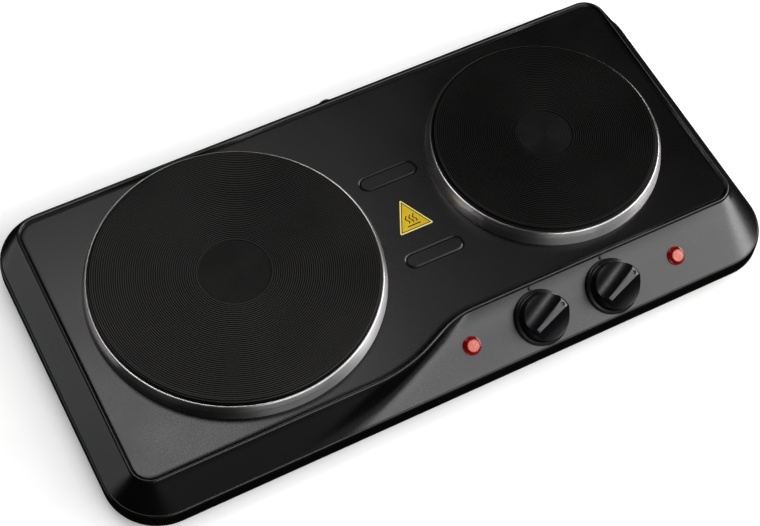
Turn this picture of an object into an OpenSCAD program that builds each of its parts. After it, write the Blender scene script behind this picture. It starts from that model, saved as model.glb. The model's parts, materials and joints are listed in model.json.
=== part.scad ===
// Portable double electric hot plate with two solid cast-iron plates.
// Millimetres, +Z up. X runs along the long side and Y from the control panel to the back.
// The origin is on the table, under the centre of the housing.

/* [Housing] */
// Length of the housing at its rim, along X
body_l = 464; // [440:1:500]
// Depth of the housing at its rim, along Y
body_d = 236; // [228:1:250]
// Corner radius of the rim in plan
corner_r = 36; // [30:1:44]
// Height of the flat deck above the table
deck_z = 39; // [38:1:46]
// Height of the rim's lower edge above the table
rim_z = 8; // [6:1:9]
// Distance from the rim in to the deck's edge
deck_inset = 18.4; // [17:0.2:20]
// Corner radius of the deck
deck_r = 11.5; // [9:0.5:14]
// Thickness of the pressed sheet
sheet_t = 1; // [0.8:0.1:1.2]

/* [Control panel] */
// Y of the deck's front edge behind the panel
panel_top_y = -79; // [-82:0.5:-76]
// X where the deck edge starts to sweep back
sweep_x = -59.5; // [-64:0.5:-50]
// Steepest angle of that sweep
sweep_angle = 25; // [20:1:32]
// Radius of the sweep's first bend
sweep_r1 = 100; // [80:1:110]
// Radius of the sweep's second bend
sweep_r2 = 60; // [45:1:70]
// How far left the skirt's shape lies at the rim, below the sweep
sweep_lean = 26; // [0:1:40]
// X of the middle between the two knobs
control_x = 84.5; // [75:0.5:95]
// Half the distance between the knobs
knob_half = 26.1; // [24:0.1:28]
// Half the distance between the pilot lamps
lamp_half = 75.2; // [65:0.1:90]

/* [Plates] */
// Centre of the large plate
large_pos = [-105.5, 1.5];
// Outer radius of the large plate, at its trim ring
large_r = 92.5; // [90:0.5:95]
// Centre of the small plate
small_pos = [121, 8];
// Outer radius of the small plate, at its trim ring
small_r = 75; // [72:0.5:78]
// Distance between two cooking-surface grooves
groove_pitch = 1.365; // [1.2:0.005:2]
// Height of the cooking surface above the deck
plate_h = 13.5; // [12:0.5:16]
// Height of the trim rings above the deck
trim_h = 10.4; // [9:0.1:12]

/* [Knobs] */
// Radius of the knob's skirt
skirt_r = 18; // [16:0.5:18.5]
// Radius of the knob's cap
cap_r = 14.7; // [13:0.1:15]
// Height of the knob above the panel
knob_h = 19; // [17:0.5:22]
// Angle of the knob's pointer from the housing's X direction, as it stands
pointer_angle = 24; // [0:1:60]
// Radius of the thermostat's spindle
spindle_r = 3; // [2.5:0.1:3.5]
// Radial clearance of the spindle in its bushing
running_gap = 0.05; // [0.02:0.01:0.1]

/* [Hidden] */
$fn = 96;

// Parts that touch face to face are drawn this far apart.
seat = 0.02;

// Rim, skirt and bead: each step is [distance in from the rim, height].
rim_steps = [
    [0, rim_z], [0, rim_z + 5.5], [0.2, rim_z + 7.4], [0.7, rim_z + 9.2], [1.3, rim_z + 10.3],
    [2, rim_z + 10.8],
];
// Each step is [distance out from the deck's edge, height above the deck].
bead_steps = [[3.3, -0.1], [2.7, 1.1], [1.65, 1.6], [0.7, 1.1], [0, 0]];
crease = rim_steps[5];
bead_foot = bead_steps[0];

// The sweep is a bend, a straight run and a bend the other way.
deck_front_y = -body_d / 2 + deck_inset;
sweep_rise = panel_top_y - deck_front_y;
bend_rise = (sweep_r1 + sweep_r2) * (1 - cos(sweep_angle));
sweep_run = (sweep_rise - bend_rise) / tan(sweep_angle);
sweep_end_x = sweep_x + (sweep_r1 + sweep_r2) * sin(sweep_angle) + sweep_run;

// The panel is the plane from the bead's foot down to the crease above the rim.
panel_y = panel_top_y - bead_foot[0];
panel_z = deck_z + bead_foot[1];
panel_tilt = atan((panel_z - crease[1]) / (panel_y + body_d / 2 - crease[0]));
panel_t = 1.45;
// Distances of the controls down the panel's slope, from the bead.
knob_s = 21;
lamp_s = 19.8;
pip_s = 1.4;
knob_hole_r = 5.3;
lamp_hole_r = 4.8;
// Depth under the deck where the cavity turns down behind the panel, so that the sheet there
// stays even.
cavity_turn = 1.13 * sheet_t;
// The iron passes through the deck with its skirt, well inside the trim ring.
plate_hole_step = 8;

// The four corner pillars carry the feet, the middle two hold the base cover.
foot_places = [[-200, -86], [200, -74], [-200, 86], [200, 86]];
middle_places = [[8, 86], [8, -64]];
screw_r = 2;

base_z = rim_z + 1;
base_top = base_z + sheet_t;
deck_under = deck_z - sheet_t;
earth_place = [43, 92];
// The cord's bush sits in a notch of the back rim.
cord_x = 15;
cord_z = rim_z + 4.6;
cord_r = 3.5;
cord_hole_r = 4.4;
cord_lip_r = 5;

function arc(centre, r, from, to, n) =
    [for (i = [0:n]) centre + r * [cos(from + (to - from) * i / n), sin(from + (to - from) * i / n)]];

// The deck's front edge from left to right, moved out by d.
function sweep(d) = concat(
    arc([sweep_x, deck_front_y + sweep_r1], sweep_r1 + d, -90, -90 + sweep_angle, 8),
    arc([sweep_end_x, panel_top_y - sweep_r2], sweep_r2 - d, 90 + sweep_angle, 90, 8));

// Outline of the deck's edge, moved out by d.
function deck_outline(d) = let (
    a = body_l / 2 - deck_inset - deck_r,
    b = body_d / 2 - deck_inset - deck_r,
    r = deck_r + d)
    concat(
        arc([-a, -b], r, 180, 270, 10),
        sweep(d),
        arc([a, panel_top_y + deck_r], r, 270, 360, 10),
        arc([a, b], r, 0, 90, 10),
        arc([-a, b], r, 90, 180, 10));

// Outline of the rim, moved in by d, with the same number of points as the deck's.
function rim_outline(d) = let (
    a = body_l / 2 - corner_r,
    b = body_d / 2 - corner_r,
    r = corner_r - d)
    concat(
        arc([-a, -b], r, 180, 270, 10),
        [for (p = sweep(0)) [p[0] - sweep_lean, -body_d / 2 + d]],
        arc([a, -b], r, 270, 360, 10),
        arc([a, b], r, 0, 90, 10),
        arc([-a, b], r, 90, 180, 10));

function at_height(outline, z) = [for (p = outline) [p[0], p[1], z]];

// A closed solid through a stack of outlines with equal numbers of points.
module loft(rings) {
    n = len(rings[0]);
    last = (len(rings) - 1) * n;
    sides = [for (k = [0:len(rings) - 2], i = [0:n - 1]) let (j = (i + 1) % n, a = k * n, b = a + n)
        each [[a + j, a + i, b + i], [a + j, b + i, b + j]]];
    polyhedron(
        points = [for (ring = rings) each ring],
        faces = concat(
            [[for (i = [0:n - 1]) i]],
            sides,
            [[for (i = [n - 1:-1:0]) last + i]]));
}

// Puts children on the panel: s is the distance down the slope, local Z points out.
module on_panel(x, s) {
    translate([x, panel_y, panel_z]) rotate([panel_tilt, 0, 0]) translate([0, -s, 0]) children();
}

// Length and width of a bar with round ends, in plan.
module stadium(l, w) {
    for (x = [-1, 1]) translate([x * (l - w) / 2, 0]) circle(d = w);
    square([l - w, w], center = true);
}

// ---- Housing ----

rib_places = [[17.5, 31.2], [17.5, -33.6]];
rib_l = 42;
rib_w = 12.4;
rib_line = 2.1;
rib_depth = 0.6;
label_place = [15.5, -13.5];
label_size = [24.3, 24.6];

module top_housing() {
    color("#18181b") {
        difference() {
            loft(concat(
                [for (s = rim_steps) at_height(rim_outline(s[0]), s[1])],
                [for (s = bead_steps) at_height(deck_outline(s[0]), deck_z + s[1])]));
            loft([
                at_height(rim_outline(sheet_t), rim_z - 1),
                at_height(rim_outline(sheet_t), rim_z + 5),
                at_height(rim_outline(crease[0] + sheet_t), crease[1] - sheet_t),
                at_height(deck_outline(bead_foot[0] - sheet_t), deck_z - cavity_turn),
                at_height(deck_outline(bead_foot[0] - 2 * sheet_t), deck_under),
            ]);
            for (p = [[large_pos, large_r], [small_pos, small_r]])
                translate([p[0][0], p[0][1], deck_z - 5]) cylinder(r = p[1] - plate_hole_step, h = 10);
            for (p = rib_places) translate([p[0], p[1], deck_z - rib_depth]) rib_groove();
            for (side = [-1, 1]) {
                on_panel(control_x + side * knob_half, knob_s)
                    translate([0, 0, -5]) cylinder(r = knob_hole_r, h = 10);
                on_panel(control_x + side * lamp_half, lamp_s)
                    translate([0, 0, -5]) cylinder(r = lamp_hole_r, h = 10);
            }
            along_cord(-6) linear_extrude(12) arch(cord_hole_r, 10);
        }
        for (side = [-1, 1]) index_pip(control_x + side * knob_half);
    }
}

// Puts children on the cord's axis, y out from the rim's back, local Z pointing out.
module along_cord(y) {
    translate([cord_x, body_d / 2 + y, cord_z]) rotate([-90, 0, 0]) children();
}

// Round above and straight below, down to a flat end.
module arch(r, drop) {
    intersection() {
        union() {
            circle(r = r);
            translate([-r, 0]) square([2 * r, 2 * r + drop]);
        }
        translate([-2 * r, -2 * r]) square([4 * r, 2 * r + drop]);
    }
}

// The pressed line around each stiffening rib.
module rib_groove() {
    linear_extrude(2) difference() {
        stadium(rib_l, rib_w);
        stadium(rib_l - 2 * rib_line, rib_w - 2 * rib_line);
    }
}

// Round pip above a knob, which its pointer is turned to for off.
module index_pip(x) {
    on_panel(x, pip_s) translate([0, 0, -0.4]) cylinder(r1 = 1.5, r2 = 1, h = 1, $fn = 32);
}

module base_cover() {
    inset = sheet_t + 0.6;
    notch_w = 2 * cord_lip_r + 0.8;
    color("#2c2c2e") difference() {
        translate([0, 0, base_z]) linear_extrude(4) polygon(rim_outline(inset));
        translate([0, 0, base_top]) linear_extrude(4) polygon(rim_outline(inset + sheet_t));
        for (p = [large_pos, small_pos], row = [-1, 1], i = [-3:3])
            translate([p[0] + i * 14, p[1] + row * 36, base_z - 1]) linear_extrude(3)
                rotate(90) stadium(34, 5);
        for (p = concat(foot_places, middle_places))
            translate([p[0], p[1], base_z - 1]) cylinder(r = screw_r + 0.3, h = 3);
        translate([earth_place[0], earth_place[1], base_z - 1]) cylinder(r = screw_r + 0.2, h = 3);
        translate([cord_x - notch_w / 2, body_d / 2 - 8, base_z - 1]) cube([notch_w, 10, 8]);
    }
}

// Yellow triangle that warns of a hot surface, its base to the front.
module hot_surface_label() {
    tip_r = 1;
    half = label_size[0] / 2 - tip_r;
    color("#f0c419") translate([label_place[0], label_place[1], deck_z])
        linear_extrude(0.3) hull()
            for (p = [[-half, tip_r], [half, tip_r], [0, label_size[1] - tip_r]])
                translate(p) circle(r = tip_r, $fn = 16);
}

// Bush that lines the notch for the mains cord, with a lip on both sides of the sheet.
module cord_grommet() {
    drop = cord_z - rim_z - 0.2;
    neck_l = 5.4;
    inner_end = 0.2 - neck_l;
    color("#101010") difference() {
        union() {
            along_cord(seat) linear_extrude(0.8) arch(cord_lip_r, drop);
            along_cord(inner_end) linear_extrude(neck_l) arch(cord_hole_r - 0.1, drop);
            along_cord(inner_end) linear_extrude(2) arch(cord_lip_r - 0.1, drop);
        }
        along_cord(inner_end - 3) cylinder(r = cord_r, h = 12);
    }
}

module mains_terminal_block() {
    color("#e9e6dc") translate([cord_x, 56, base_top]) difference() {
        translate([-17, -9, 0]) cube([34, 18, 13]);
        for (i = [-1:1]) {
            translate([i * 10.5, 0, 7]) rotate([90, 0, 0]) cylinder(r = 2, h = 40, center = true);
            translate([i * 10.5, -4, 7]) cylinder(r = 1.8, h = 8);
            translate([i * 10.5, 4, 7]) cylinder(r = 1.8, h = 8);
        }
    }
}

module earth_screw() {
    color("#c9b458") translate([earth_place[0], earth_place[1], 0]) {
        translate([0, 0, base_z - 2.4]) cylinder(r = 3.6, h = 2.4 - seat);
        translate([0, 0, base_z - 1]) cylinder(r = screw_r, h = 10);
    }
}

module earth_nut() {
    color("#c9b458") translate([earth_place[0], earth_place[1], base_top + seat]) difference() {
        cylinder(r = 4, h = 3.2, $fn = 6);
        translate([0, 0, -1]) cylinder(r = screw_r + seat, h = 6);
    }
}

// A point on the panel at x, s down the slope and h out from its face.
function panel_point(x, s, h) = [
    x, panel_y - s * cos(panel_tilt) - h * sin(panel_tilt),
    panel_z - s * sin(panel_tilt) + h * cos(panel_tilt)];

function unit(v) = v / norm(v);

// Direction of a route at point i: the mean of the stretches that meet there.
function heading(points, i) = unit(
    (i == 0 ? [0, 0, 0] : unit(points[i] - points[i - 1]))
    + (i == len(points) - 1 ? [0, 0, 0] : unit(points[i + 1] - points[i])));

// A wire with eight sides through a list of points.
module wire(points, r) {
    aside = [1, 0, 0.4];
    loft([for (i = [0:len(points) - 1]) let (
        along = heading(points, i),
        u = unit(cross(along, aside)),
        v = cross(along, u))
        [for (k = [7:-1:0]) points[i] + r * (cos(45 * k) * u + sin(45 * k) * v)]]);
}

module internal_wiring() {
    low = base_top + 2.4;
    block_y = 46.5;
    for (side = [-1, 1]) {
        tab = panel_point(control_x + side * knob_half - 15, knob_s - 4, -10.2);
        from = [cord_x + side * 10.5, block_y, base_top + 7];
        color(side < 0 ? "#5b3a1e" : "#2a4fa0") wire([
            from, [from[0], 34, low], [28 + side * 6, -40, low], [tab[0], -80, low], tab], 1.2);
    }
    color("#3c8f3a") wire([
        [cord_x, 66, base_top + 7], [cord_x, 76, base_top + 7],
        [earth_place[0] - 8, earth_place[1], base_top + 4.6],
        [earth_place[0] - 5, earth_place[1], base_top + 4.6]], 1.2);
}

module support_pillars() {
    color("#a9acb0") for (p = concat(foot_places, middle_places)) translate([p[0], p[1], 0])
        difference() {
            translate([0, 0, base_top + seat]) cylinder(r = 5, h = deck_under - base_top - 2 * seat, $fn = 6);
            translate([0, 0, base_z]) cylinder(r = screw_r + seat, h = 16);
        }
}

module base_screws() {
    color("#a9acb0") for (p = middle_places) translate([p[0], p[1], 0]) {
        translate([0, 0, base_z - 2.2]) cylinder(r = 3.8, h = 2.2 - seat);
        translate([0, 0, base_z - 1]) cylinder(r = screw_r, h = 12);
    }
}

module foot_screws() {
    color("#a9acb0") for (p = foot_places) translate([p[0], p[1], 0]) {
        translate([0, 0, 2.5 + seat]) cylinder(r = 3.8, h = 2);
        translate([0, 0, 3]) cylinder(r = screw_r, h = 18);
    }
}

module rubber_foot(p) {
    color("#1d1d1d") translate([p[0], p[1], 0]) difference() {
        cylinder(r1 = 8, r2 = 9.5, h = base_z - seat);
        translate([0, 0, -1]) cylinder(r = 4.4, h = 3.5);
        translate([0, 0, -1]) cylinder(r = screw_r + 0.3, h = 14);
        translate([0, 0, 2]) cylinder(r = 4.4, h = 2.6);
    }
}

// ---- Plates: r is the trim ring's radius, heights are from the deck ----

filling_low = -1.5;
cover_low = filling_low - 1;
bridge_z = -16;
shield_z = -18.6;

// Radii that the parts of one plate share.
function recess_r(r) = 0.245 * r;
function coil_radii(r) = [0.43 * r, 0.67 * r];
// Half the angle left open between the two ends of a heating coil.
function coil_gap(radius) = asin(5.8 / radius);

module plate_at(p) {
    translate([p[0], p[1], deck_z]) children();
}

module hotplate(r) {
    edge = r - 1;
    first = recess_r(r) + 1.2;
    grooves = floor((edge - 3 - first) / groove_pitch);
    lip = (groove_pitch - 0.7) / 2;
    groove_points = [for (i = [0:grooves - 1]) let (x = first + i * groove_pitch)
        each [[x + lip, plate_h], [x + groove_pitch / 2, plate_h - 0.4],
              [x + groove_pitch - lip, plate_h]]];
    color("#26262a") difference() {
        rotate_extrude() polygon(concat(
            [[0, plate_h - 0.6], [recess_r(r), plate_h - 0.6], [recess_r(r) + 0.3, plate_h]],
            groove_points,
            [[edge - 1.8, plate_h], [edge, plate_h - 1.8], [edge, 5.5], [r - 9, 5.5],
             [r - 9, -8], [r - 14, -8], [r - 14, 5.5], [10, 5.5], [10, filling_low], [0, filling_low]]));
        translate([0, 0, -10]) cylinder(r = spindle_r + seat, h = 18);
    }
}

// Polished ring that catches spills and hides the gap around the iron.
module trim_ring(r) {
    color("#c8c9cc") rotate_extrude() polygon([
        [r - 6, 4.6], [r - 0.7, 4.6], [r - 0.1, 5.2], [r + 1.8, 4], [r + 2.7, seat], [r + 3.7, seat],
        [r + 3.7, 0.6], [r + 3.1, 1], [r + 0.8, trim_h - 1], [r + 0.3, trim_h - 0.2],
        [r - 0.3, trim_h], [r - 0.8, trim_h - 0.4], [r - 0.8, 5.4], [r - 6, 5.4]]);
}

module ring_arc(radius, wire_r) {
    half_gap = coil_gap(radius);
    rotate(-90 + half_gap) rotate_extrude(angle = 360 - 2 * half_gap)
        translate([radius, 0]) circle(r = wire_r, $fn = 32);
}

// Places children at both ends of every coil of a plate.
module at_coil_ends(r) {
    for (radius = coil_radii(r), side = [-1, 1])
        rotate(-90 + side * coil_gap(radius)) translate([radius, 0, 0]) children();
}

module heating_coil(r) {
    color("#9a9488") {
        for (radius = coil_radii(r)) translate([0, 0, 2]) ring_arc(radius, 2.2);
        at_coil_ends(r) translate([0, 0, -9]) cylinder(r = 1.1, h = 10.5, $fn = 32);
    }
}

module element_filling(r) {
    color("#d8d2c2") difference() {
        translate([0, 0, filling_low]) cylinder(r = r - 14.1, h = 7 - seat);
        translate([0, 0, -5]) cylinder(r = 14, h = 20);
        for (radius = coil_radii(r)) translate([0, 0, 2]) rotate_extrude()
            translate([radius, 0]) circle(r = 2.3, $fn = 32);
        at_coil_ends(r) translate([0, 0, -5]) cylinder(r = 1.2, h = 7, $fn = 32);
    }
}

module under_cover(r) {
    color("#8f9296") difference() {
        translate([0, 0, cover_low]) cylinder(r = r - 14.2, h = 1 - seat);
        translate([0, 0, -5]) cylinder(r = spindle_r + 0.3, h = 8);
        at_coil_ends(r) translate([0, 0, -5]) cylinder(r = 1.6, h = 7, $fn = 32);
    }
}

// Steatite block that keeps the coil's pins apart.
module terminal_insulator(r) {
    near = coil_radii(r)[0] - 6;
    far = coil_radii(r)[1] + 6;
    color("#efeadd") difference() {
        translate([-11, -far, cover_low - 7]) cube([22, far - near, 7 - seat]);
        at_coil_ends(r) translate([0, 0, -12]) cylinder(r = 1.3, h = 12, $fn = 32);
    }
}

module centre_stud() {
    color("#b5b7ba") translate([0, 0, -25.5]) cylinder(r = spindle_r, h = 33);
}

// Steel strip that pulls the plate down and bears up against the deck.
module clamp_bridge(r) {
    half = r - 4;
    color("#9fa2a6") difference() {
        union() {
            translate([-half, -12, bridge_z]) cube([2 * half, 24, 1.5]);
            for (side = [-1, 1]) {
                translate([side * (half - 0.75), 0, bridge_z / 2 - sheet_t / 2])
                    cube([1.5, 24, -bridge_z - sheet_t - 2 * seat], center = true);
                translate([side * (half + 4), 0, -sheet_t - 0.75 - seat]) cube([9, 24, 1.5], center = true);
            }
        }
        translate([0, 0, bridge_z - 2]) cylinder(r = spindle_r + 0.3, h = 6);
    }
}

module heat_shield(r) {
    rim = r - 7;
    color("#c3c6ca") difference() {
        translate([0, 0, shield_z]) cylinder(r = rim, h = 2.1);
        translate([0, 0, shield_z + 0.8]) cylinder(r = rim - 0.8, h = 4);
        translate([0, 0, shield_z - 2]) cylinder(r = spindle_r + 0.3, h = 6);
    }
}

module centre_nut() {
    color("#b5b7ba") translate([0, 0, shield_z - 4.5 - seat]) difference() {
        cylinder(r = 5.8, h = 4.5, $fn = 6);
        translate([0, 0, -1]) cylinder(r = spindle_r + seat, h = 8);
    }
}

// ---- Controls: local Z is the spindle's axis, 0 at the panel's face ----

nut_h = 2.4;
bushing_h = 4;
body_low = -15;
spindle_low = -9;
spindle_top = 14;
flat_from = 5.5;
flat_x = 2;

module at_knob(side) {
    on_panel(control_x + side * knob_half, knob_s) children();
}

// Round bar with a flat along its upper part.
module d_shaft(r, low, top, flat) {
    difference() {
        translate([0, 0, low]) cylinder(r = r, h = top - low);
        translate([flat, -10, flat_from]) cube([10, 20, 40]);
    }
}

// Skirt and a round cap scooped out along both sides of a grip, which widens to its pointer
// end and has a dimple there.
module knob() {
    cap_low = 3.2;
    shoulder = 1;
    scoop_r = 14;
    scoop_side = 14.8;
    scoop_z = knob_h + 5.6;
    scoop_toe = 3.2;
    color("#0e0e10") rotate(pointer_angle) difference() {
        union() {
            translate([0, 0, 0.4]) cylinder(r = skirt_r, h = 1.6);
            translate([0, 0, 2]) cylinder(r1 = skirt_r, r2 = skirt_r - 1.2, h = 1.2);
            translate([0, 0, cap_low])
                cylinder(r1 = cap_r + 0.5, r2 = cap_r, h = knob_h - shoulder - cap_low);
            translate([0, 0, knob_h - shoulder]) cylinder(r1 = cap_r, r2 = cap_r - shoulder, h = shoulder);
        }
        for (side = [-1, 1])
            translate([0, side * scoop_side, scoop_z]) rotate([0, 90, side * scoop_toe])
                cylinder(r = scoop_r, h = 4 * cap_r, center = true);
        translate([0, 0, -1]) cylinder(r = 8.5, h = bushing_h + 2);
        d_shaft(spindle_r + seat, 0, spindle_top + 0.5, flat_x + seat);
        translate([11.5, 0, knob_h - 0.6]) cylinder(r = 1.2, h = 2, $fn = 32);
    }
}

module spindle() {
    color("#b9bcc0") rotate(pointer_angle) d_shaft(spindle_r, spindle_low, spindle_top, flat_x);
}

module bushing_nut() {
    color("#b9bcc0") translate([0, 0, seat]) difference() {
        cylinder(r = 7.6, h = nut_h, $fn = 6);
        translate([0, 0, -1]) cylinder(r = 5 + seat, h = 6);
    }
}

// Plate behind the panel with the threaded bushing that the spindle runs in.
module thermostat_bracket() {
    color("#b0b2b5") difference() {
        union() {
            translate([-13, -9, -panel_t - 1.2]) cube([26, 18, 1.2]);
            translate([0, 0, -panel_t - 1]) cylinder(r = 5, h = panel_t + 1 + bushing_h);
        }
        translate([0, 0, -6]) cylinder(r = spindle_r + running_gap, h = 14);
    }
}

module thermostat_body() {
    top = -panel_t - 1.2 - seat;
    color("#e4dfd0") difference() {
        translate([-12, -8, body_low]) cube([24, 16, top - body_low]);
        translate([0, 0, spindle_low - 0.3]) cylinder(r = spindle_r + running_gap, h = 20);
    }
}

module bimetal_blade() {
    color("#b98a4a") translate([-11, -4, body_low - 0.8 - seat]) {
        cube([26, 8, 0.8]);
        translate([2, 4, -1.4]) cylinder(r = 1.8, h = 1.5, $fn = 32);
    }
}

module thermostat_terminals() {
    color("#c9a24b") for (y = [-4, 4]) translate([-18, y - 2.5, -8.4]) cube([6 - seat, 5, 0.8]);
}

// ---- Pilot lamps: local Z is the lamp's axis, 0 at the panel's face ----

module at_lamp(side) {
    on_panel(control_x + side * lamp_half, lamp_s) children();
}

module lamp_lens() {
    color("#c8202a", 0.85) difference() {
        rotate_extrude() polygon([
            [0, 3.8], [3.4, 3.8], [3.8, 3.4], [4.9, 1], [6, 0.9], [6.1, 0.4], [6.1, seat],
            [4.6, seat], [4.6, -9], [0, -9]]);
        translate([0, 0, -10]) cylinder(r = 3.4, h = 12);
    }
}

module lamp_bulb() {
    color("#f2a07a") translate([0, 0, -8.5]) {
        cylinder(r = 2.8, h = 7);
        translate([0, 0, 7]) sphere(r = 2.8, $fn = 48);
    }
}

module lamp_clip() {
    color("#b9bcc0") translate([0, 0, -panel_t - 0.9]) difference() {
        cylinder(r = 7.5, h = 0.8);
        translate([0, 0, -1]) cylinder(r = 4.6 + seat, h = 4);
    }
}

top_housing();
base_cover();
hot_surface_label();
cord_grommet();
mains_terminal_block();
earth_screw();
earth_nut();
internal_wiring();
support_pillars();
base_screws();
foot_screws();
rubber_foot(foot_places[0]);  // rubber_foot_front_left
rubber_foot(foot_places[1]);  // rubber_foot_front_right
rubber_foot(foot_places[2]);  // rubber_foot_back_left
rubber_foot(foot_places[3]);  // rubber_foot_back_right

plate_at(large_pos) hotplate(large_r);  // large_hotplate
plate_at(large_pos) trim_ring(large_r);  // large_trim_ring
plate_at(large_pos) heating_coil(large_r);  // large_heating_coil
plate_at(large_pos) element_filling(large_r);  // large_element_filling
plate_at(large_pos) under_cover(large_r);  // large_under_cover
plate_at(large_pos) terminal_insulator(large_r);  // large_terminal_insulator
plate_at(large_pos) centre_stud();  // large_centre_stud
plate_at(large_pos) clamp_bridge(large_r);  // large_clamp_bridge
plate_at(large_pos) heat_shield(large_r);  // large_heat_shield
plate_at(large_pos) centre_nut();  // large_centre_nut

plate_at(small_pos) hotplate(small_r);  // small_hotplate
plate_at(small_pos) trim_ring(small_r);  // small_trim_ring
plate_at(small_pos) heating_coil(small_r);  // small_heating_coil
plate_at(small_pos) element_filling(small_r);  // small_element_filling
plate_at(small_pos) under_cover(small_r);  // small_under_cover
plate_at(small_pos) terminal_insulator(small_r);  // small_terminal_insulator
plate_at(small_pos) centre_stud();  // small_centre_stud
plate_at(small_pos) clamp_bridge(small_r);  // small_clamp_bridge
plate_at(small_pos) heat_shield(small_r);  // small_heat_shield
plate_at(small_pos) centre_nut();  // small_centre_nut

at_knob(-1) knob();  // left_knob
at_knob(-1) spindle();  // left_spindle
at_knob(-1) bushing_nut();  // left_bushing_nut
at_knob(-1) thermostat_bracket();  // left_thermostat_bracket
at_knob(-1) thermostat_body();  // left_thermostat_body
at_knob(-1) bimetal_blade();  // left_bimetal_blade
at_knob(-1) thermostat_terminals();  // left_thermostat_terminals

at_knob(1) knob();  // right_knob
at_knob(1) spindle();  // right_spindle
at_knob(1) bushing_nut();  // right_bushing_nut
at_knob(1) thermostat_bracket();  // right_thermostat_bracket
at_knob(1) thermostat_body();  // right_thermostat_body
at_knob(1) bimetal_blade();  // right_bimetal_blade
at_knob(1) thermostat_terminals();  // right_thermostat_terminals

at_lamp(-1) lamp_lens();  // left_lamp_lens
at_lamp(-1) lamp_bulb();  // left_lamp_bulb
at_lamp(-1) lamp_clip();  // left_lamp_clip
at_lamp(1) lamp_lens();  // right_lamp_lens
at_lamp(1) lamp_bulb();  // right_lamp_bulb
at_lamp(1) lamp_clip();  // right_lamp_clip
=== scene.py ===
import json
import math

import bmesh
import bpy
from mathutils import Matrix, Vector


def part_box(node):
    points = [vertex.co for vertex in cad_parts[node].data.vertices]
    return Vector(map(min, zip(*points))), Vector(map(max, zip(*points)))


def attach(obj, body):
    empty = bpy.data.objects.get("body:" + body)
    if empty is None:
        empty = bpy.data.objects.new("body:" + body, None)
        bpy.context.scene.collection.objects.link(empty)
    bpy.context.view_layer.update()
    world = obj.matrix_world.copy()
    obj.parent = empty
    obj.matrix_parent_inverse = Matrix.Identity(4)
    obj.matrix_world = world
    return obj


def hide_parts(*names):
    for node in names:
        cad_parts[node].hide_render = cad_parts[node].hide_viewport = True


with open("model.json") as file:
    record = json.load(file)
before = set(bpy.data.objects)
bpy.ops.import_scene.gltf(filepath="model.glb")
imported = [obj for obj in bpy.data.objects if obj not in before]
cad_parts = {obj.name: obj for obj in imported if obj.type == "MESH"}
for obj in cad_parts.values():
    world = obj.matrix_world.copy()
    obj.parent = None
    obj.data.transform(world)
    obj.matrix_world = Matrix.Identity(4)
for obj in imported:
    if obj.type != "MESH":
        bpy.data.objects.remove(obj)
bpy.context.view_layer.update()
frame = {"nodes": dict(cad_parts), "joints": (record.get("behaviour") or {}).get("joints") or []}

nodes = frame["nodes"]
MM = 0.001


# ---- Pressed housing ----
# One sheet of steel drawn into a tray: a flat deck inside a raised bead, a sloping skirt that
# widens into the control panel, and a rolled rim. It is coated with black baked enamel.

def select_only(piece):
    """Leaves one object selected and active, in object mode."""
    if bpy.context.object and bpy.context.object.mode != "OBJECT":
        bpy.ops.object.mode_set(mode="OBJECT")
    bpy.ops.object.select_all(action="DESELECT")
    piece.select_set(True)
    bpy.context.view_layer.objects.active = piece


def pick(kind, test):
    """Selects the points, edges or faces in edit mode whose middle passes a test."""
    bpy.ops.mesh.select_mode(type=kind)
    bpy.ops.mesh.select_all(action="DESELECT")
    mesh = bmesh.from_edit_mesh(bpy.context.object.data)
    for part in {"VERT": mesh.verts, "EDGE": mesh.edges, "FACE": mesh.faces}[kind]:
        corners = [part] if kind == "VERT" else part.verts
        if test(sum((v.co for v in corners), Vector()) / len(corners)):
            part.select_set(True)
    mesh.select_flush_mode()
    bmesh.update_edit_mesh(bpy.context.object.data)


def pick_edges(test):
    """Selects the edges in edit mode that pass a test on the edge itself."""
    bpy.ops.mesh.select_mode(type="EDGE")
    bpy.ops.mesh.select_all(action="DESELECT")
    mesh = bmesh.from_edit_mesh(bpy.context.object.data)
    for edge in mesh.edges:
        if test(edge):
            edge.select_set(True)
    bmesh.update_edit_mesh(bpy.context.object.data)


def cut_blank(name, size, z, corner, sweep=0, lean=0):
    """A flat sheet with rounded corners, whose front edge sweeps back to make room for the panel.
    The sweep starts and ends at the panel's bends, moved to the left by lean."""
    length, depth = size
    bend_x = [x - lean for x in PANEL_BENDS]
    front = -depth / 2
    bpy.ops.object.select_all(action="DESELECT")
    bpy.ops.mesh.primitive_plane_add(size=1, location=(0, 0, z))
    sheet = bpy.context.object
    sheet.name = name
    bpy.ops.object.transform_apply()
    bpy.ops.object.mode_set(mode="EDIT")
    bpy.ops.transform.resize(value=(length, depth, 1), center_override=(0, 0, z))
    pick("EDGE", lambda p: p.y < front + MM)
    bpy.ops.mesh.subdivide(number_cuts=2)
    for third, x in zip((-length / 6, length / 6), bend_x):
        pick("VERT", lambda p: abs(p.x - third) < MM and p.y < front + MM)
        bpy.ops.transform.translate(value=(x - third, 0, 0))
    pick("VERT", lambda p: p.x > 0 and p.y < front + MM)
    bpy.ops.transform.translate(value=(0, sweep, 0))
    pick("VERT", lambda p: abs(p.x) > length / 2 - MM)
    bpy.ops.mesh.bevel(offset=corner, segments=18, affect="VERTICES")
    for x, reach, segments in zip(bend_x, BEND_REACH, (14, 12)):
        pick("VERT", lambda p: abs(p.x - x) < MM and p.y < front + sweep + MM)
        bpy.ops.mesh.bevel(offset=reach, segments=segments, affect="VERTICES", profile=0.558)
    return sheet


def step_in(steps):
    """Insets the selected face again and again, each time by (distance in, distance up)."""
    for inward, up in steps:
        bpy.ops.mesh.inset(thickness=inward * MM, depth=up * MM)


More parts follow.
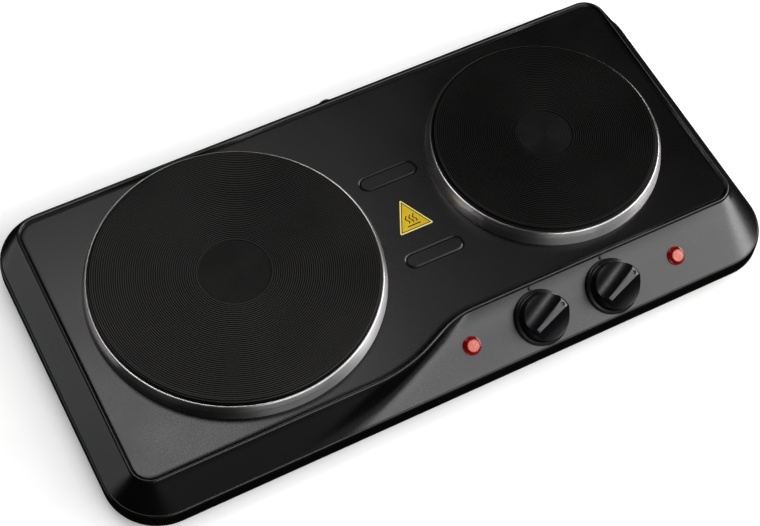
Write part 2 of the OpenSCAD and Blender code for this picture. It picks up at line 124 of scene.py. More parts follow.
def carve(piece, tool, operation="DIFFERENCE"):
    """Cuts a tool out of a piece, or welds it on, and throws the tool away."""
    select_only(piece)
    cut = piece.modifiers.new("cut", "BOOLEAN")
    cut.operation, cut.object, cut.solver = operation, tool, "EXACT"
    bpy.ops.object.modifier_apply(modifier="cut")
    bpy.data.objects.remove(tool)


def drum(radius, height, centre, turn=(0, 0, 0), sides=96):
    """A cylinder that is used as a cutter."""
    bpy.ops.object.select_all(action="DESELECT")
    bpy.ops.mesh.primitive_cylinder_add(
        vertices=sides, radius=radius, depth=height, location=centre, rotation=turn)
    bpy.ops.object.transform_apply()
    return bpy.context.object


RIM_LOW, RIM_BAND, DECK, SHEET = 8 * MM, 6.4 * MM, 39 * MM, 0.9 * MM
RIM_SIZE, RIM_CORNER = (464 * MM, 236 * MM), 36 * MM
BEAD_SIZE, BEAD_CORNER = (433.8 * MM, 205.8 * MM), 14.8 * MM
PANEL_SWEEP, PANEL_LEAN = 20.6 * MM, 70 * MM
PANEL_BENDS, BEND_REACH = (-36.6 * MM, 7.6 * MM), (22.9 * MM, 12.6 * MM)
rim_roll = [(0.06, 0.9), (0.1, 0.85), (0.16, 0.8), (0.24, 0.7), (0.34, 0.6), (0.4, 0.4),
            (0.36, 0.16), (0.2, 0)]
bead_roll = [(0.2, 0.38), (0.3, 0.5), (0.35, 0.4), (0.4, 0.26), (0.4, 0.1), (0.4, -0.06),
             (0.35, -0.22), (0.35, -0.4), (0.3, -0.5), (0.2, -0.45), (0.3, -0.35), (0.35, 0.3),
             (0.9, 0.14), (1.2, 0)]

housing = cut_blank("housing_shell", RIM_SIZE, RIM_LOW, RIM_CORNER, lean=PANEL_LEAN)
bpy.ops.mesh.select_all(action="SELECT")
bpy.ops.mesh.extrude_region_move(TRANSFORM_OT_translate={"value": (0, 0, RIM_BAND)})
step_in(rim_roll)
bpy.ops.mesh.delete(type="FACE")
pick("FACE", lambda p: p.z < RIM_LOW + 0.1 * MM)
bpy.ops.mesh.delete(type="FACE")
bpy.ops.object.mode_set(mode="OBJECT")

deck = cut_blank("deck", BEAD_SIZE, DECK - 0.1 * MM, BEAD_CORNER, PANEL_SWEEP)
bpy.ops.mesh.select_all(action="SELECT")
step_in(bead_roll)
bpy.ops.object.mode_set(mode="OBJECT")
select_only(housing)
deck.select_set(True)
bpy.ops.object.join()
bpy.ops.object.mode_set(mode="EDIT")
pick_edges(lambda edge: edge.is_boundary and edge.verts[0].co.z > RIM_LOW + 0.1 * MM)
bpy.ops.mesh.bridge_edge_loops(number_cuts=7, interpolation="LINEAR")

# The press draws the skirt smoothly into the panel: its long front strips are divided, and the
# points between rim and bead settle like a stretched film. The deck's face is out meanwhile,
# so that it isn't divided with them.
pick("FACE", lambda p: abs(p.x) < 20 * MM and abs(p.y) < 20 * MM)
bpy.ops.mesh.delete(type="ONLY_FACE")
pick_edges(lambda edge: max(v.co.y for v in edge.verts) < -65 * MM
           and edge.calc_length() > 60 * MM)
bpy.ops.mesh.subdivide(number_cuts=15)
pick_edges(lambda edge: edge.is_boundary and edge.verts[0].co.z > DECK - MM)
bpy.ops.mesh.edge_face_add()
crease_z, foot_z = 19.8 * MM, DECK - 1.2 * MM
pick("VERT", lambda p: p.y < -70 * MM and crease_z < p.z < foot_z and abs(p.x) < 190 * MM)
bpy.ops.mesh.vertices_smooth(factor=0.5, repeat=14)
for height, swell in ((36 * MM, 0.35), (33.6 * MM, 0.2)):
    pick("VERT", lambda p: p.y < -80 * MM and abs(p.z - height) < 1.1 * MM
         and -30 * MM < p.x < 190 * MM)
    bpy.ops.transform.translate(value=(0, -0.5 * swell * MM, 0.86 * swell * MM))
bpy.ops.mesh.select_all(action="SELECT")
bpy.ops.mesh.normals_make_consistent(inside=False)
bpy.ops.object.mode_set(mode="OBJECT")
wall = housing.modifiers.new("wall", "SOLIDIFY")
wall.thickness, wall.offset = SHEET, -1
select_only(housing)
bpy.ops.object.modifier_apply(modifier="wall")


def middle(node):
    """Centre of a CAD node's box."""
    low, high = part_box(node)
    return (low + high) / 2


for node, hole in (("large_hotplate", 84.5 * MM), ("small_hotplate", 67 * MM)):
    plate = middle(node)
    carve(housing, drum(hole, 20 * MM, (plate.x, plate.y, DECK), sides=128))

# The panel's own frame: its origin is the spindle's foot, Z is the spindle's axis.
hinges = {joint["child"]: joint for joint in frame["joints"]}


def on_panel(foot):
    """Matrix that stands a piece modelled upright at the origin on the sloping panel."""
    axis = Vector(hinges["left_control"]["axis"])
    return Matrix.Translation(foot) @ axis.to_track_quat("Z", "Y").to_matrix().to_4x4()


knob_feet = {side: Vector(hinges[side + "_control"]["pos_m"]) for side in ("left", "right")}
tilt = -math.atan2(Vector(hinges["left_control"]["axis"]).y, hinges["left_control"]["axis"][2])
down_slope = Vector((0, -math.cos(tilt), -math.sin(tilt)))
PANEL_MIDDLE, LAMP_REACH = 84.5 * MM, 75.2 * MM
lamp_feet = {}
for side, reach in (("left", -LAMP_REACH), ("right", LAMP_REACH)):
    beside_knobs = Vector((PANEL_MIDDLE + reach, knob_feet["left"].y, knob_feet["left"].z))
    lamp_feet[side] = beside_knobs - down_slope * 1.2 * MM
for feet, hole in ((knob_feet, 5.3 * MM), (lamp_feet, 4.8 * MM)):
    for foot in feet.values():
        carve(housing, drum(hole, 12 * MM, foot, turn=(tilt, 0, 0), sides=48))


def rib_tool(x, y):
    """A flat bar with sharp edges, bent into a loop: it presses the line round a rib."""
    half, bend, bar = 14.8 * MM, 5.1 * MM, 1.05 * MM
    z = DECK + 0.02 * MM
    bpy.ops.object.select_all(action="DESELECT")
    bpy.ops.mesh.primitive_circle_add(
        vertices=4, radius=bar, location=(x - half, y - bend, z), rotation=(0, math.pi / 2, 0))
    tool = bpy.context.object
    bpy.ops.object.transform_apply()
    bpy.ops.object.mode_set(mode="EDIT")
    bpy.ops.mesh.select_all(action="SELECT")
    bpy.ops.transform.resize(value=(1, 1, 0.52), center_override=(x, y, z))
    for way in (1, -1):
        bpy.ops.mesh.extrude_region_move(TRANSFORM_OT_translate={"value": (2 * half * way, 0, 0)})
        bpy.ops.mesh.spin(steps=20, angle=math.pi, center=(x + half * way, y, z), axis=(0, 0, -1))
    bpy.ops.mesh.select_all(action="SELECT")
    bpy.ops.mesh.remove_doubles(threshold=0.01 * MM)
    bpy.ops.mesh.normals_make_consistent(inside=False)
    bpy.ops.object.mode_set(mode="OBJECT")
    return tool


for rib_y in (31.2 * MM, -33.6 * MM):
    carve(housing, rib_tool(17.5 * MM, rib_y))


def turn(name, profile, sides=96):
    """Lathe: a point is drawn along a profile of (radius, height) in mm and spun round Z."""
    bpy.ops.object.select_all(action="DESELECT")
    bpy.ops.mesh.primitive_plane_add(size=MM)
    piece = bpy.context.object
    piece.name = name
    bpy.ops.object.mode_set(mode="EDIT")
    bpy.ops.mesh.select_mode(type="VERT")
    bpy.ops.mesh.select_all(action="SELECT")
    bpy.ops.mesh.merge(type="CENTER")
    bpy.ops.transform.translate(value=(profile[0][0] * MM, 0, profile[0][1] * MM))
    for here, there in zip(profile, profile[1:]):
        step = ((there[0] - here[0]) * MM, 0, (there[1] - here[1]) * MM)
        bpy.ops.mesh.extrude_region_move(TRANSFORM_OT_translate={"value": step})
    bpy.ops.mesh.select_all(action="SELECT")
    bpy.ops.mesh.spin(steps=sides, angle=2 * math.pi, center=(0, 0, 0), axis=(0, 0, 1))
    bpy.ops.mesh.select_all(action="SELECT")
    bpy.ops.mesh.remove_doubles(threshold=0.001 * MM)
    bpy.ops.mesh.normals_make_consistent(inside=False)
    bpy.ops.object.mode_set(mode="OBJECT")
    return piece


def place(piece, matrix):
    """Moves a piece to its place and bakes the place into its mesh."""
    piece.matrix_world = matrix
    select_only(piece)
    bpy.ops.object.transform_apply()
    return piece


# The cord's bush sits in a notch of the back rim, round above and open below.
gland = middle("cord_grommet")
cord_z, rim_y, notch = 12.6 * MM, 118 * MM, 4.4 * MM
carve(housing, drum(notch, 20 * MM, (gland.x, rim_y, cord_z), turn=(math.pi / 2, 0, 0)))
bpy.ops.object.select_all(action="DESELECT")
bpy.ops.mesh.primitive_cube_add(size=1, location=(gland.x, rim_y, cord_z - 5 * MM),
                                scale=(2 * notch, 20 * MM, 10 * MM))
bpy.ops.object.transform_apply()
carve(housing, bpy.context.object)

# A small round pip above each knob marks off.
pip_outline = [(0, 0.85), (0.5, 0.78), (0.95, 0.55), (1.25, 0.2), (1.5, -0.3), (0, -0.3)]
for foot in knob_feet.values():
    pip = place(turn("pip", pip_outline, 32), on_panel(foot - down_slope * 19.6 * MM))
    select_only(housing)
    pip.select_set(True)
    bpy.ops.object.join()


class Wire:
    """One output in a material's nodes. A sum written on it adds the Math nodes."""

    def __init__(self, tree, socket):
        self.tree, self.socket = tree, socket

    def add(self, kind, inputs=(), out=0, stops=None, **settings):
        """Adds a node: its settings first, then the values or links of its sockets."""
        node = self.tree.nodes.new("ShaderNode" + kind)
        for name, value in settings.items():
            setattr(node, name, value)
        if stops:
            ramp = node.color_ramp.elements
            while len(ramp) < len(stops):
                ramp.new(0.5)
            for element, (at, colour) in zip(ramp, stops):
                element.position, element.color = at, (*colour, 1)
        for name, value in dict(inputs).items():
            if isinstance(value, Wire):
                self.tree.links.new(value.socket, node.inputs[name])
            else:
                node.inputs[name].default_value = value
        return Wire(self.tree, node.outputs[out])

    def sum(self, operation, *others):
        return self.add("Math", enumerate((self, *others)), operation=operation)

    def __add__(self, other):
        return self.sum("ADD", other)

    def __sub__(self, other):
        return self.sum("SUBTRACT", other)

    def __rsub__(self, other):
        return self.add("Math", {0: other, 1: self}, operation="SUBTRACT")

    def __mul__(self, other):
        return self.sum("MULTIPLY", other)

    __radd__, __rmul__ = __add__, __mul__

    def noise(self, scale, detail=3.0, roughness=0.5):
        """Cloudy values round 0.5 on these coordinates, scale in features a metre."""
        return self.add("TexNoise", {"Vector": self, "Scale": scale, "Detail": detail,
                                     "Roughness": roughness})

    def ramp(self, low, high, dark, light):
        """Colour that goes from dark to light as this value goes from low to high."""
        return self.add("ValToRGB", {"Fac": self}, stops=[(low, dark), (high, light)])

    def under(self, mask, colour):
        """This colour, with another one over it where the mask is 1."""
        return self.add("Mix", {0: mask, 6: self, 7: (*colour, 1)}, out=2, data_type="RGBA")

    def between(self, low, high, start, end):
        """Number that goes from start to end as this value goes from low to high."""
        return self.add("MapRange", {"Value": self, "From Min": low, "From Max": high,
                                     "To Min": start, "To Max": end})

    def bump(self, depth):
        """Relief of that depth in metres."""
        return self.add("Bump", {"Height": self, "Distance": depth, "Strength": 1.0})


def new_finish(name, metal=0.0, **constants):
    """A material, its shader and the coordinates of the piece that it covers."""
    finish = bpy.data.materials.new(name)
    finish.use_nodes = True
    tree = finish.node_tree
    shader = tree.nodes["Principled BSDF"]
    shader.inputs["Metallic"].default_value = metal
    for socket, value in constants.items():
        shader.inputs[socket.replace("_", " ")].default_value = value
    return finish, shader, Wire(tree, tree.nodes.new("ShaderNodeTexCoord").outputs["Object"])


def feed(shader, **wires):
    """Links what varies over a surface to the shader's sockets."""
    for socket, wire in wires.items():
        wire.tree.links.new(wire.socket, shader.inputs[socket.replace("_", " ")])


def coated(name, dark, light, rough, grain=300, relief=0.00003, metal=0.0, **constants):
    """A finish that is cloudy in colour and gloss, with a fine grain in relief."""
    finish, shader, at = new_finish(name, metal, **constants)
    cloud = at.noise(18, 4)
    fine = at.noise(grain, 2)
    feed(shader, Base_Color=cloud.ramp(0.35, 0.65, dark, light),
         Roughness=(cloud * 0.5 + fine * 0.5).between(0.35, 0.65, *rough),
         Normal=fine.bump(relief))
    return finish


def wear(pieces, finish):
    """Puts one finish on pieces or CAD nodes."""
    for piece in pieces:
        piece.data.materials.clear()
        piece.data.materials.append(finish)


def finished(piece, body, finish, replaced=(), angle=32):
    """Smooths a new piece, covers it and ties it to its CAD body and nodes."""
    select_only(piece)
    bpy.ops.object.shade_smooth_by_angle(angle=math.radians(angle))
    wear([piece], finish)
    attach(piece, body)
    if replaced:
        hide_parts(*replaced)


enamel = coated("baked_enamel", (0.0007, 0.0007, 0.0009), (0.0013, 0.0012, 0.0014),
                (0.26, 0.34), grain=900, relief=0.000006, IOR=1.52)
finished(housing, "housing", enamel, ["top_housing"], 25)


# ---- Cooking plates ----
# Grey iron castings with a bevelled edge. The top is turned with fine rings round a shallow
# recess, and sprayed with a matt black heat-resistant coat.

PLATE_TOP, GROOVE_PITCH, GROOVE_DEPTH = 13.5, 1.365, 0.42
RECESS_TOP, RECESS_GROOVE = 12.9, 12.78


def iron_finish(name, centre, first_land, wear_grey):
    """Coated iron, with the lands rubbed grey and painted shade, near black, in the grooves between
    them and over most of the middle recess.
    """
    finish, shader, at = new_finish(name, IOR=1.22)
    flat = at.add("VectorMath", {0: at, 1: (1, 1, 0)}, operation="MULTIPLY")
    out = flat.add("VectorMath", {0: flat, 1: (centre.x, centre.y, 0)}, out=1,
                   operation="DISTANCE")
    from_land = (out - first_land * MM).sum("PINGPONG", GROOVE_PITCH / 2 * MM)
    grooved = out.sum("GREATER_THAN", (first_land - 0.6) * MM)
    # Painted shade: the colour darkens towards black down in each turned groove, and is mostly dark
    # over the middle recess.
    dark = from_land.between(0.15 * MM, 0.35 * MM, 0, 1) * grooved + (1 - grooved) * 0.7
    cast = at.noise(1600, 3)
    patch = at.noise(14, 5)
    greys = [[grey * tint for tint in (1, 0.95, 0.88)] for grey in (wear_grey, 2 * wear_grey)]
    rubbed = patch.ramp(0.35, 0.7, *greys)
    # The near black laid on through that mask is the painted groove and recess shade.
    feed(shader, Base_Color=rubbed.under(dark, (0.0006, 0.0006, 0.0006)),
         Roughness=(patch * 0.6 + cast * 0.4).between(0.35, 0.65, 0.36, 0.5),
         Normal=cast.bump(0.00004))
    return finish


for size, radius, recess, wear_grey in (("large", 91.5, 22.6, 0.013),
                                        ("small", 74, 18.3, 0.0045)):
    inner = [(0, RECESS_TOP)]
    r = 1.2
    while r < recess - 0.7:
        inner += [(r - 0.3, RECESS_TOP), (r, RECESS_GROOVE), (r + 0.3, RECESS_TOP)]
        r += 0.9
    grooves = [(recess, RECESS_TOP), (recess + 0.35, PLATE_TOP)]
    first_land = recess + 1.2
    r = first_land
    while r + GROOVE_PITCH < radius - 2.2:
        next_r = r + GROOVE_PITCH
        grooves += [(r + 0.28, PLATE_TOP), (r + 0.5, PLATE_TOP - GROOVE_DEPTH),
                    (next_r - 0.5, PLATE_TOP - GROOVE_DEPTH), (next_r - 0.28, PLATE_TOP)]
        r = next_r
    under = [(radius - 1.7, PLATE_TOP), (radius - 1.2, 13.3), (radius - 0.2, 12.1),
             (radius, 11.6), (radius, 5.5), (radius - 8, 5.5), (radius - 8, -8),
             (radius - 13, -8), (radius - 13, 5.5), (10, 5.5), (10, -1.5), (3.1, -1.5),
             (3.1, 7), (0, 7)]
    plate = turn(size + "_cooking_plate", inner + grooves + under, 224)
    centre = middle(size + "_hotplate")
    place(plate, Matrix.Translation((centre.x, centre.y, DECK)))
    iron = iron_finish(size + "_coated_iron", centre, first_land, wear_grey)
    finished(plate, "housing", iron, [size + "_hotplate"], 25)


# ---- Trim rings ----
# Spun from stainless strip and polished along the spin: a foot that lies on the deck, a tall
# outer wall and a rolled top that the iron sits in. They keep spills out of the housing.

steel, steel_shader, at = new_finish("polished_steel", 1.0, Anisotropic=0.85,
                                     Anisotropic_Rotation=0.25)
stretched = at.add("Mapping", {"Vector": at, "Scale": (1, 1, 40)})
streak = stretched.noise(60, 3)
stain = at.noise(22, 4)
feed(steel_shader, Base_Color=stain.ramp(0.3, 0.7, (0.60, 0.58, 0.59), (0.72, 0.71, 0.72)),
     Roughness=(stain * 0.5 + streak * 0.5).between(0.35, 0.65, 0.3, 0.38),
     Normal=streak.bump(0.00001))

for size, r in (("large", 92.5), ("small", 75)):
    wall = [(-6, 4.6), (-0.75, 4.6), (-0.1, 5.2), (1.8, 4), (2.6, 0.12), (3.05, 0.12), (3.15, 0.25),
            (3.12, 0.6), (2.2, 6.6), (1.95, 7.2), (1.15, 9.1), (0.85, 9.7), (0.5, 10.2), (0, 10.4),
            (-0.4, 10.3), (-0.7, 10), (-0.8, 9.5), (-0.8, 5.6), (-1, 5.4), (-6, 5.4), (-6, 4.6)]
    ring = turn(size + "_ring", [(r + out, up) for out, up in wall], 224)
    centre = middle(size + "_trim_ring")
    place(ring, Matrix.Translation((centre.x, centre.y, DECK)))
    finished(ring, "housing", steel, [size + "_trim_ring"], 40)


# ---- Control knobs ----
# Glossy black phenolic mouldings: a wide skirt and a round cap scooped out on both sides of a
# straight grip. The grip widens to its pointer end, where a dimple shows the setting.

phenolic = coated("glossy_phenolic", (0.0012, 0.0012, 0.0018), (0.0022, 0.0022, 0.003),
                  (0.26, 0.34), grain=500, relief=0.000002, IOR=1.5)
POINTER, GRIP_FLARE = math.radians(24), math.radians(3.2)
SCOOP_R, SCOOP_SIDE, SCOOP_UP = 14 * MM, 14.8 * MM, 24.6 * MM
DIMPLE_R, DIMPLE_OUT, DIMPLE_UP = 1.5 * MM, 11.3 * MM, 19.7 * MM
for side, foot in knob_feet.items():
    knob = turn(side + "_knob_body", [
        (8.5, 0.4), (17.5, 0.4), (17.9, 0.6), (18, 0.9), (18, 2), (17.85, 2.35), (17.5, 2.6),
        (16.2, 2.95), (15.7, 3.15), (15.4, 3.5), (15.25, 4.2), (14.75, 15.6), (14.6, 16.4),
        (14.2, 17.3), (13.6, 18), (12.7, 18.6), (11.4, 18.9), (9.5, 19), (0, 19), (0, 14.5),
        (3.05, 14.5), (3.05, 5), (8.5, 5), (8.5, 0.4)], 160)
    for way in (1, -1):
        scoop = drum(SCOOP_R, 60 * MM, (0, way * SCOOP_SIDE, SCOOP_UP),
                     turn=(0, math.pi / 2, way * GRIP_FLARE), sides=200)
        carve(knob, scoop)
    bpy.ops.mesh.primitive_uv_sphere_add(segments=32, ring_count=16, radius=DIMPLE_R,
                                         location=(DIMPLE_OUT, 0, DIMPLE_UP))
    bpy.ops.object.transform_apply()
    carve(knob, bpy.context.object)
    edges = knob.modifiers.new("edges", "BEVEL")
    edges.width, edges.segments = 0.25 * MM, 3
    edges.limit_method, edges.angle_limit = "ANGLE", math.radians(28)
    select_only(knob)
    bpy.ops.object.modifier_apply(modifier="edges")
    place(knob, on_panel(foot) @ Matrix.Rotation(POINTER, 4, "Z"))
    finished(knob, side + "_control", phenolic, [side + "_knob"], 30)


# ---- Pilot lamps ----
# A dark red clear cone snaps into the panel. Its flat face is cast with fine dimples, which
# spread the glow of the neon bulb behind it.

red_clear, red_shader, at = new_finish("dark_red_lens", IOR=1.58)
deep = at.noise(500, 2)
feed(red_shader, Base_Color=deep.ramp(0.35, 0.65, (0.09, 0.001, 0.001), (0.2, 0.003, 0.002)),
     Roughness=deep.between(0.3, 0.7, 0.04, 0.1))
glow, glow_shader, at = new_finish("dimpled_lens_face", Emission_Strength=0.12, IOR=1.5)
dimples = at.add("TexVoronoi", {"Vector": at, "Scale": 1100.0})
feed(glow_shader, Base_Color=dimples.ramp(0.0, 0.7, (0.52, 0.13, 0.09), (0.3, 0.05, 0.03)),
     Emission_Color=dimples.ramp(0.0, 0.7, (0.9, 0.3, 0.2), (0.6, 0.1, 0.05)),
     Roughness=dimples.between(0, 0.7, 0.2, 0.35), Normal=dimples.bump(0.00012))
for side, foot in lamp_feet.items():
    lens = turn(side + "_lamp_cone", [
        (3.4, -4), (4.6, -4), (4.6, 0.1), (6, 0.1), (6.1, 0.3), (6.05, 0.75), (5.8, 1), (5.4, 1.1),
        (4.15, 3.4), (3.95, 3.6), (3.7, 3.6), (3.55, 3.3), (3.4, 3), (3.4, -4)], 64)
    face = turn(side + "_lamp_face", [
        (0, 3.75), (1.5, 3.72), (2.8, 3.66), (3.5, 3.55), (3.62, 3.4), (3.38, 3), (3.38, 2.2),
        (0, 2.2)], 64)
    for piece in (lens, face):
        place(piece, on_panel(foot))
    finished(lens, "housing", red_clear, [side + "_lamp_lens"])
    finished(face, "housing", glow)


# ---- Heat label ----
# Yellow printed foil stuck between the ribs: a pale cut edge, a thin dark border and a plain
# sign for heat, three wavy strokes over a bar.

low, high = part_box("hot_surface_label")
foil_w, foil_h = high.x - low.x, high.y - low.y
foil_mid = Vector(((low.x + high.x) / 2, low.y + foil_h / 3, 0))
bpy.ops.object.select_all(action="DESELECT")
bpy.ops.mesh.primitive_circle_add(vertices=3, radius=1, fill_type="NGON",
                                  location=(0, 0, DECK + 0.02 * MM))
foil = bpy.context.object
foil.name = "heat_label_foil"
bpy.ops.object.transform_apply()
bpy.ops.object.mode_set(mode="EDIT")
bpy.ops.mesh.select_all(action="SELECT")
bpy.ops.transform.resize(value=(foil_w / math.sqrt(3), foil_h / 1.5, 1),
                         center_override=(0, 0, 0))
bpy.ops.transform.translate(value=foil_mid)
bpy.ops.mesh.bevel(offset=1.6 * MM, segments=6, affect="VERTICES")
bpy.ops.mesh.extrude_region_move(TRANSFORM_OT_translate={"value": (0, 0, 0.2 * MM)})
bpy.ops.mesh.inset(thickness=0.08 * MM, depth=0.05 * MM)
bpy.ops.mesh.select_all(action="SELECT")
bpy.ops.mesh.normals_make_consistent(inside=False)
bpy.ops.object.mode_set(mode="OBJECT")

print_finish, foil_shader, at = new_finish("printed_foil", IOR=1.2)
# The print is worked out in millimetres from the foil's middle.
CUT_EDGE, BORDER, BORDER_HALF = 0.85, 1.15, 0.3
STROKE_GAP, STROKE_HALF, STROKE_REACH = 2.6, 0.42, 3.1
BAR_DOWN, BAR_HALF, BAR_REACH = 4.4, 0.4, 4.6
spot = at.add("Mapping", {"Vector": at, "Scale": (1000, 1000, 1000),
                          "Location": (-foil_mid.x * 1000, -foil_mid.y * 1000, 0)})
xyz = spot.add("SeparateXYZ", {"Vector": spot})
x, y = xyz, Wire(xyz.tree, xyz.socket.node.outputs[1])
half_w, h = foil_w * 500, foil_h * 1000
slant = math.hypot(half_w, h)
side_gap = ((h * 2 / 3 - y) * half_w - x.sum("ABSOLUTE") * h) * (1 / slant)
edge_gap = side_gap.sum("MINIMUM", y + h / 3)
border = (edge_gap - BORDER).sum("ABSOLUTE").sum("LESS_THAN", BORDER_HALF)
pale = edge_gap.sum("LESS_THAN", CUT_EDGE)
strokes = None
for shift in (-STROKE_GAP, 0, STROKE_GAP):
    wave = (y * 1.15).sum("SINE") * 0.75
    stroke = (x - shift + wave).sum("ABSOLUTE").sum("LESS_THAN", STROKE_HALF)
    strokes = stroke if strokes is None else strokes.sum("MAXIMUM", stroke)
strokes = strokes * (y - 0.5).sum("ABSOLUTE").sum("LESS_THAN", STROKE_REACH)
bar = ((y + BAR_DOWN).sum("ABSOLUTE").sum("LESS_THAN", BAR_HALF)
       * x.sum("ABSOLUTE").sum("LESS_THAN", BAR_REACH))
ink = border.sum("MAXIMUM", strokes).sum("MAXIMUM", bar)
mottle = at.noise(160, 3)
yellow = mottle.ramp(0.3, 0.7, (0.37, 0.245, 0.008), (0.45, 0.30, 0.012))
printed = yellow.under(pale, (0.55, 0.47, 0.16)).under(ink, (0.012, 0.01, 0.004))
feed(foil_shader, Base_Color=printed, Roughness=mottle.between(0.3, 0.7, 0.28, 0.4),
     Normal=mottle.bump(0.00001))
finished(foil, "housing", print_finish, ["hot_surface_label"])


# ---- Feet ----
# Soft black rubber, moulded with a ribbed flange, and screwed up through the base into the
# corner pillars.

rubber = coated("soft_rubber", (0.010, 0.010, 0.010), (0.018, 0.018, 0.018), (0.6, 0.8),
                grain=700, relief=0.00005)
for corner in ("front_left", "front_right", "back_left", "back_right"):
    low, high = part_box("rubber_foot_" + corner)
    sole = turn("foot_" + corner, [
        (4.4, 0.3), (4.7, 0), (7.5, 0), (8, 0.35), (8.25, 1.6), (8.05, 1.9), (8.35, 2.2),
        (8.6, 3.8), (8.4, 4.1), (8.7, 4.4), (8.95, 6), (8.8, 6.3), (9.2, 6.6), (9.4, 8.5),
        (9.3, 8.98), (2.3, 8.98), (2.3, 4.6), (4.4, 4.6), (4.4, 0.3)], 64)
    place(sole, Matrix.Translation(((low.x + high.x) / 2, (low.y + high.y) / 2, 0)))
    finished(sole, "housing", rubber, ["rubber_foot_" + corner])
wear([nodes["cord_grommet"]], rubber)


# ---- Base cover and fixings ----
# A flat tray of black painted sheet with vents under the plates, held by two screws on the
# middle pillars and by the feet. The earth screw is brass.

base_paint = coated("base_paint", (0.008, 0.008, 0.008), (0.014, 0.014, 0.014), (0.4, 0.55),
                    grain=600)
zinc = coated("zinc_plating", (0.42, 0.42, 0.41), (0.60, 0.60, 0.58), (0.28, 0.42),
              grain=400, metal=1.0)
brass = coated("brass", (0.55, 0.40, 0.16), (0.70, 0.53, 0.24), (0.25, 0.38),
               grain=500, metal=1.0)
wear([nodes["base_cover"]], base_paint)
wear([nodes[name] for name in ("support_pillars", "base_screws", "foot_screws")], zinc)
wear([nodes[name] for name in ("earth_screw", "earth_nut")], brass)


# ---- Heating elements ----
# Under each plate a nickel-chrome coil lies in pressed magnesia behind a sheet cover. Its pins
# pass a steatite block, and a bridge on the centre stud clamps the whole plate to the deck.

hot_wire = coated("nickel_chrome", (0.22, 0.2, 0.18), (0.36, 0.34, 0.3), (0.4, 0.55), metal=1.0)
magnesia = coated("magnesia", (0.58, 0.55, 0.48), (0.70, 0.67, 0.6), (0.8, 0.95), relief=0.0001)
steatite = coated("steatite", (0.66, 0.62, 0.53), (0.78, 0.75, 0.67), (0.35, 0.55), relief=0.00004)
bright_sheet = coated("aluminised_sheet", (0.58, 0.59, 0.6), (0.72, 0.73, 0.74), (0.3, 0.45),
                      metal=1.0)
zinc_in_plate = ("under_cover", "centre_stud", "clamp_bridge", "centre_nut")
for size in ("large_", "small_"):
    wear([nodes[size + "heating_coil"]], hot_wire)
    wear([nodes[size + "element_filling"]], magnesia)
    wear([nodes[size + "terminal_insulator"]], steatite)
    wear([nodes[size + "heat_shield"]], bright_sheet)
    wear([nodes[size + name] for name in zinc_in_plate], zinc)


# ---- Controls behind the panel ----
# Each spindle turns in the bushing of a thermostat: a steatite body with brass tabs and a
# bimetal blade. Neon bulbs sit in the lamp cones, held by spring clips.

bimetal = coated("bimetal", (0.5, 0.36, 0.2), (0.62, 0.46, 0.27), (0.25, 0.4), metal=1.0)
bulb_glass = coated("bulb_glass", (0.8, 0.42, 0.25), (0.9, 0.5, 0.32), (0.05, 0.1),
                    relief=0.000002, Transmission_Weight=0.6)
zinc_in_control = ("spindle", "bushing_nut", "thermostat_bracket", "lamp_clip")
for side in ("left_", "right_"):
    wear([nodes[side + name] for name in zinc_in_control], zinc)
    wear([nodes[side + "thermostat_body"]], steatite)
    wear([nodes[side + "bimetal_blade"]], bimetal)
    wear([nodes[side + "thermostat_terminals"]], brass)
    wear([nodes[side + "lamp_bulb"]], bulb_glass)


# ---- Wiring ----
# A white moulded terminal block takes the mains, and silicone-sleeved wires run from it to the
# controls and to the earth screw.

block_white = coated("moulded_block", (0.6, 0.59, 0.54), (0.7, 0.69, 0.64), (0.4, 0.6))
sleeve = coated("silicone_sleeve", (0.10, 0.045, 0.02), (0.16, 0.075, 0.035), (0.5, 0.7))
wear([nodes["mains_terminal_block"]], block_white)
wear([nodes["internal_wiring"]], sleeve)


# ---- Studio ----
# A seamless pale floor under large soft lights, and a long lens that looks down from the front
# left. Gloss sees an almost black sky, so that only the lights show in the enamel.

bpy.ops.object.select_all(action="DESELECT")
bpy.ops.mesh.primitive_plane_add(size=12, location=(0, 0, -0.0002))
floor = bpy.context.object
floor.name = "studio_floor"
wear([floor], coated("pale_floor", (0.86, 0.86, 0.86), (0.88, 0.88, 0.88), (0.8, 0.9)))
floor.visible_glossy = False


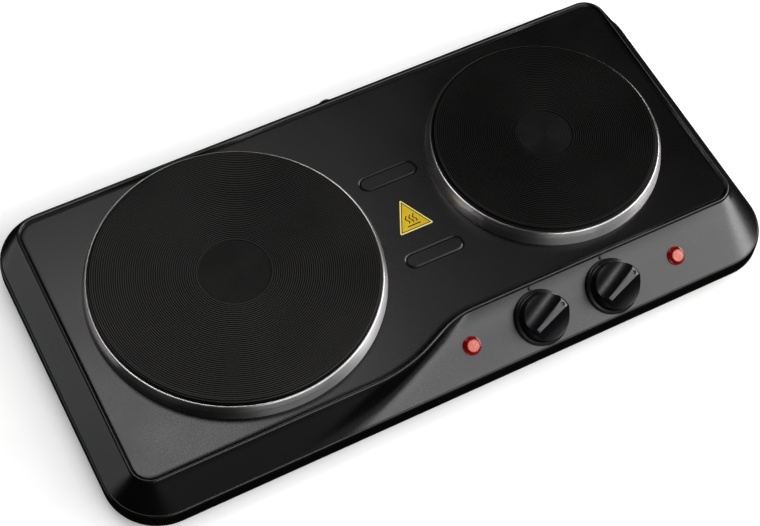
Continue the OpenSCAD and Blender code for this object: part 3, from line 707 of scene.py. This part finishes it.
def softbox(name, azimuth, elevation, distance, width, height, power):
    """A large soft light that faces the object, seen from it at that azimuth and elevation."""
    turn_by, lift = math.radians(azimuth), math.radians(elevation)
    way = Vector((math.cos(turn_by) * math.cos(lift), math.sin(turn_by) * math.cos(lift),
                  math.sin(lift)))
    bpy.ops.object.light_add(type="AREA", location=way * distance)
    light = bpy.context.object
    light.name = name
    light.rotation_euler = way.to_track_quat("Z", "Y").to_euler()
    light.data.shape = "RECTANGLE"
    light.data.size, light.data.size_y, light.data.energy = width, height, power


softbox("back_light", 100, 68, 2.2, 1.1, 0.55, 9.5)
softbox("front_light", -62, 43, 2.2, 2.7, 0.8, 30)
softbox("right_light", -15, 26, 2.2, 1.9, 0.7, 36)
softbox("front_glow", -80, 8, 2.2, 2.6, 0.8, 1.6)
softbox("left_glow", 152, -12, 1.2, 0.9, 0.5, 1.0)

world = bpy.data.worlds.new("studio")
bpy.context.scene.world = world
world.use_nodes = True
tree = world.node_tree
glossy_ray = Wire(tree, tree.nodes.new("ShaderNodeLightPath").outputs["Is Glossy Ray"])
backdrop = tree.nodes["Background"]
backdrop.inputs["Color"].default_value = (1, 1, 1, 1)
tree.links.new(glossy_ray.between(0, 1, 0.75, 0.006).socket, backdrop.inputs["Strength"])

azimuth, elevation, roll = math.radians(-30.48), math.radians(58.30), math.radians(3.77)
backward = Vector((math.sin(azimuth) * math.cos(elevation),
                   -math.cos(azimuth) * math.cos(elevation), math.sin(elevation)))
level = Vector((math.cos(azimuth), math.sin(azimuth), 0))
rise = backward.cross(level)
across = level * math.cos(roll) + rise * math.sin(roll)
upward = rise * math.cos(roll) - level * math.sin(roll)
bpy.ops.object.camera_add()
camera = bpy.context.object
camera.matrix_world = (Matrix.Translation((-0.3218, -0.5365, 1.0041))
                       @ Matrix((across, upward, backward)).transposed().to_4x4())
camera.data.lens = 84.9
camera.data.shift_x, camera.data.shift_y = 0.0062, -0.0032
bpy.context.scene.camera = camera
bpy.context.scene.view_settings.view_transform = "Standard"
